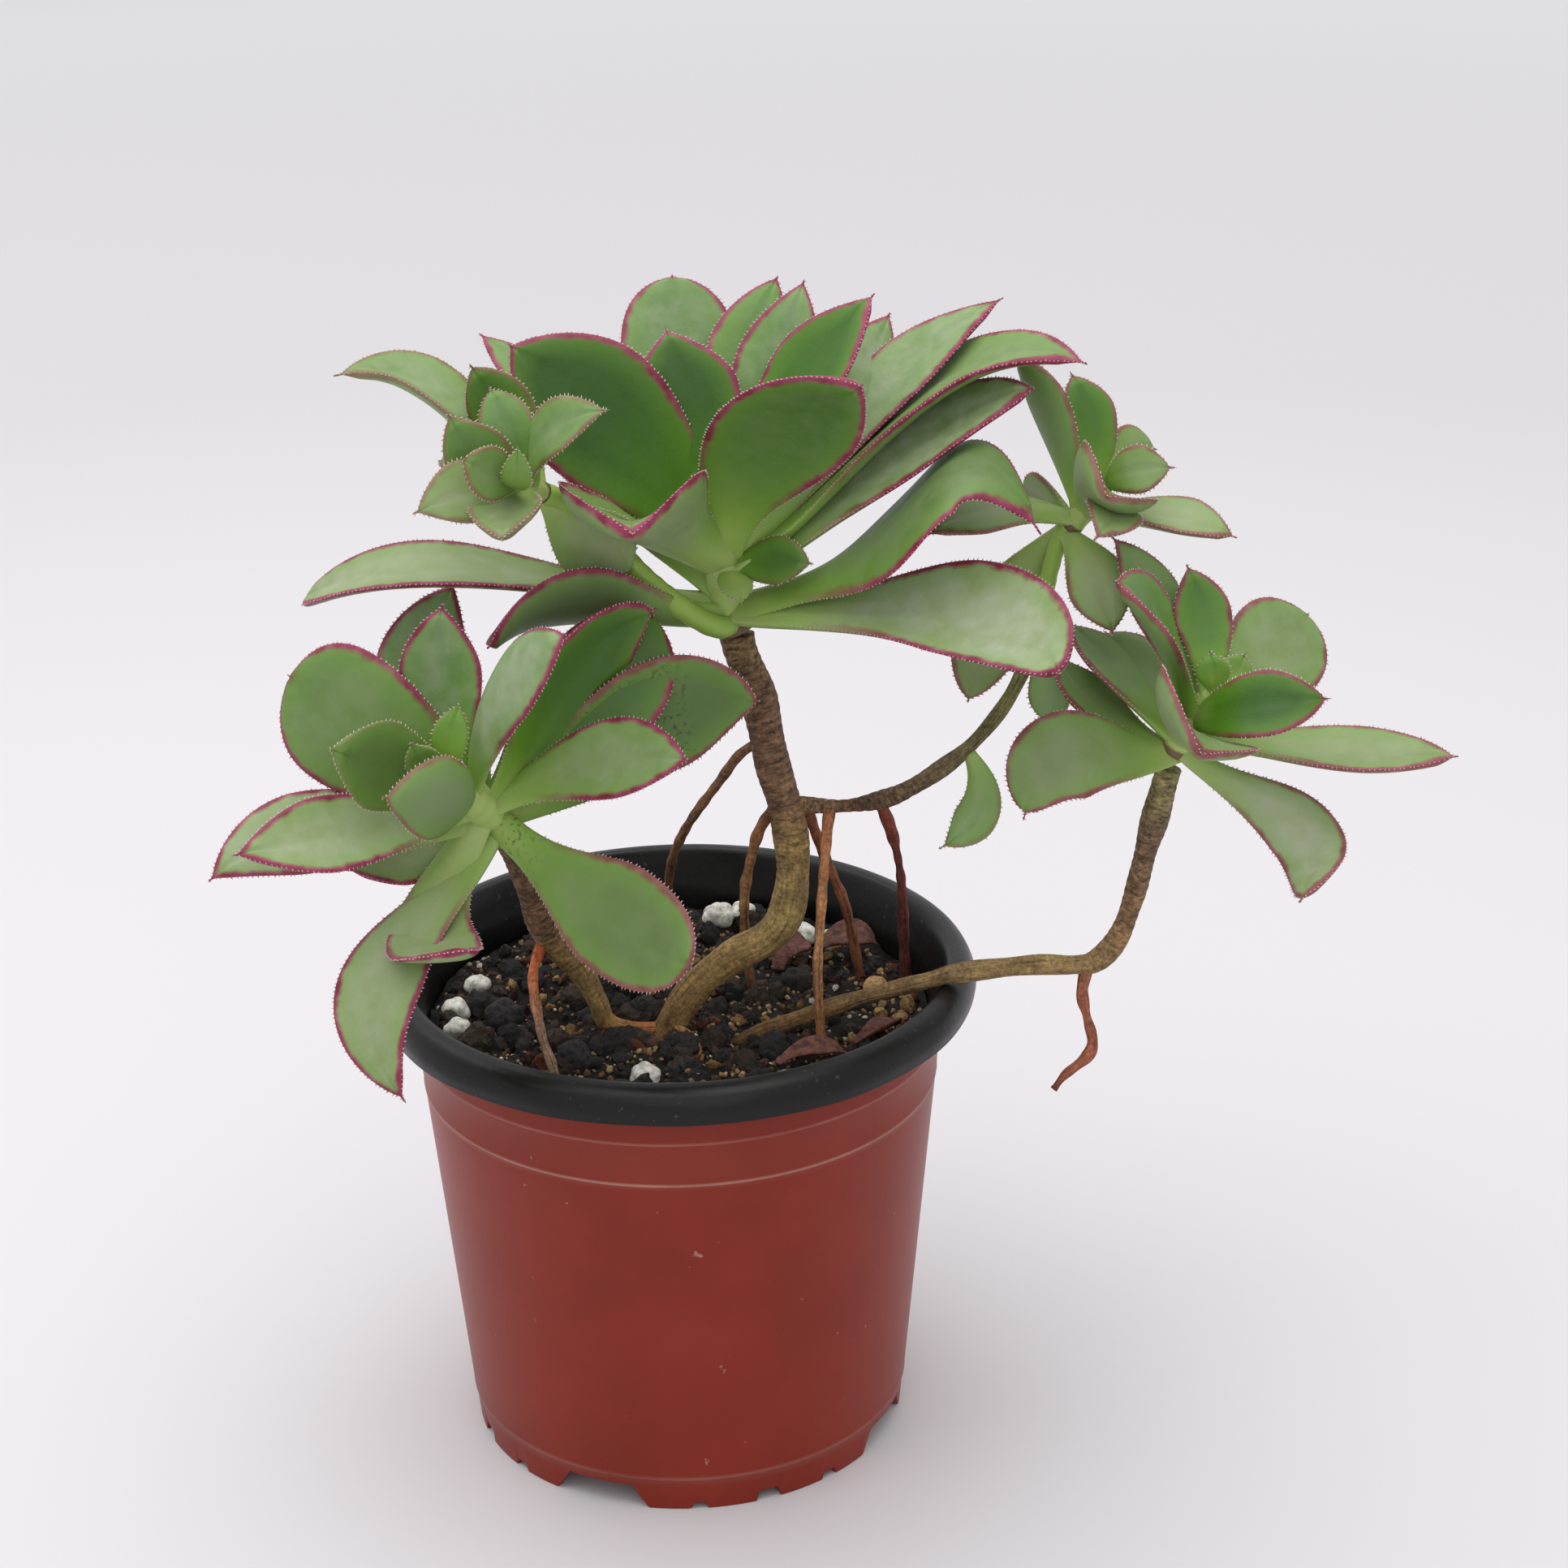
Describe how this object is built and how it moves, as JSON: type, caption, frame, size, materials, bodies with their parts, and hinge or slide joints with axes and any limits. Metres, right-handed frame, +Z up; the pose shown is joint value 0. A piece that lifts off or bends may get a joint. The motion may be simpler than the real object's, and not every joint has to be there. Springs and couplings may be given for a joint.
{
  "type": "potted aeonium",
  "caption": "Branching succulent with rosettes of fleshy pink-edged leaves on bent woody stems with aerial roots, growing in a round tapered plastic nursery pot.",
  "frame": {"origin": "middle of the underside of the pot's floor, on the pot's axis and on the ground", "axes": "+Z up along the pot's axis, +X to the right and -Y towards the viewer, as the plant is seen from its fullest side"},
  "size_m": [0.2032, 0.1136, 0.2073],
  "materials": {
    "terracotta_plastic": "satin",
    "black_plastic": "satin",
    "potting_mix": "matte",
    "bark": "matte",
    "root_skin": "matte",
    "leaf_flesh": "satin",
    "pale_leaf_flesh": "satin",
    "perlite": "matte",
    "pumice": "matte",
    "scoria": "matte",
    "dried_leaf": "matte"
  },
  "bodies": {
    "root": {"pot_wall": "terracotta_plastic", "pot_liner": "black_plastic", "soil": "potting_mix", "woody_stem": "bark", "aerial_root_1": "root_skin", "aerial_root_2": "root_skin", "aerial_root_3": "root_skin", "aerial_root_4": "root_skin", "aerial_root_5": "root_skin", "aerial_root_6": "root_skin", "aerial_root_7": "root_skin", "aerial_root_8": "root_skin", "head_main": "leaf_flesh", "head_upper_left": "leaf_flesh", "head_left": "leaf_flesh", "head_right_upper": "leaf_flesh", "head_right_lower": "leaf_flesh", "hanging_leaf_1": "pale_leaf_flesh", "hanging_leaf_2": "pale_leaf_flesh", "perlite_1": "perlite", "perlite_2": "perlite", "perlite_3": "perlite", "perlite_4": "perlite", "perlite_5": "perlite", "perlite_6": "perlite", "perlite_7": "perlite", "perlite_8": "perlite", "perlite_9": "perlite", "perlite_10": "perlite", "perlite_11": "perlite", "pumice_1": "pumice", "scoria_1": "scoria", "scoria_2": "scoria", "scoria_3": "scoria", "scoria_4": "scoria", "dried_leaf_1": "dried_leaf", "dried_leaf_2": "dried_leaf", "dried_leaf_3": "dried_leaf", "dried_leaf_4": "dried_leaf"}
  },
  "joints": []
}
